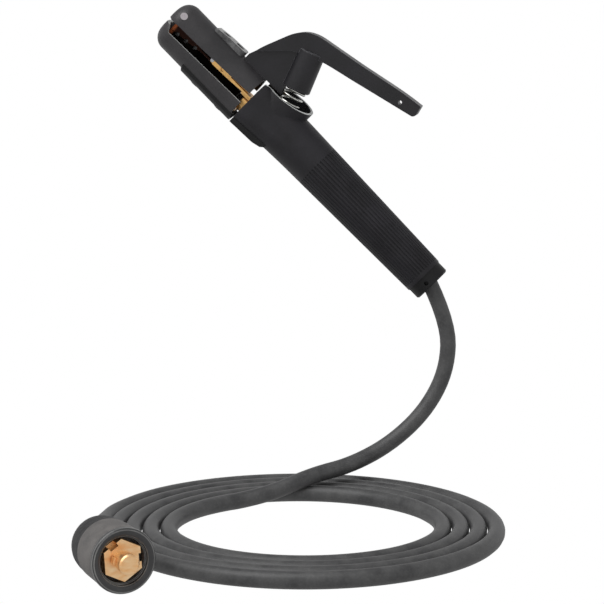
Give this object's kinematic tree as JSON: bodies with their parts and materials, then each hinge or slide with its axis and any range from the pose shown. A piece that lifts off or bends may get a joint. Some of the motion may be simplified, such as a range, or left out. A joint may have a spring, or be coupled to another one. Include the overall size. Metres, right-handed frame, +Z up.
{
  "type": "welding electrode holder with cable and plug",
  "caption": "Spring-jaw welding electrode holder with a squeeze lever and ribbed grip, on a coiled rubber welding cable that ends in a twist-lock plug.",
  "frame": {"origin": "middle of the ribbed grip, on the handle's axis, where a hand holds it", "axes": "+Z up with the holder nose up at 45 degrees; the nose points to -X and +Z, the cable end to +X and -Z; +Y is across the holder, along the lever pivot"},
  "size_m": [0.2764, 0.345, 0.3463],
  "materials": {
    "jaw_brass": "cast brass, machined on the jaw face",
    "jaw_insulator": "moulded glass-filled insulator, satin",
    "guard_plastic": "moulded insulator, matte",
    "handle_plastic": "moulded thermoset, matte",
    "lever_plastic": "moulded glass-filled nylon, matte",
    "screw_steel": "zinc-plated steel",
    "pin_steel": "polished steel",
    "spring_steel": "bright spring steel wire",
    "copper": "bare copper",
    "cable_rubber": "neoprene cable sheath, satin",
    "plug_rubber": "moulded rubber, fine grain",
    "plug_brass": "machined brass, bright"
  },
  "bodies": {
    "holder": {"lower_jaw": "jaw_brass", "lower_insulator": "jaw_insulator", "lower_guard": "guard_plastic", "lower_jaw_screws": "screw_steel", "handle": "handle_plastic", "heel_guard": "guard_plastic", "handle_screw": "screw_steel", "end_collar": "handle_plastic", "cable_screws": "screw_steel", "cable_ferrule": "copper", "cable_core": "copper", "cable_inside": "cable_rubber", "pivot_pin": "pin_steel", "pivot_clip": "pin_steel", "spring": "spring_steel", "spring_seat": "guard_plastic", "cable_lead": "cable_rubber", "cable_coil": "cable_rubber", "cable_tail": "cable_rubber", "plug_nut": "plug_rubber", "plug_body": "plug_rubber", "plug_bezel": "plug_rubber", "plug_pin": "plug_brass", "plug_screws": "screw_steel", "plug_ferrule": "copper", "plug_core": "copper", "plug_sheath": "cable_rubber"},
    "lever": {"lever": "lever_plastic", "upper_jaw": "jaw_brass", "upper_insulator": "jaw_insulator", "upper_pad": "guard_plastic", "upper_jaw_screws": "screw_steel", "nose_rivet": "pin_steel", "jaw_pin": "pin_steel"}
  },
  "joints": [
    {"name": "lever_hinge", "type": "hinge", "parent": "holder", "child": "lever", "pos_m": [-0.07566, 0, 0.08697], "axis": [0, 1, 0], "range_deg": [0, 20], "stiffness_Nm_per_rad": 3, "springref_deg": -20.05, "deforming": ["spring"]}
  ]
}
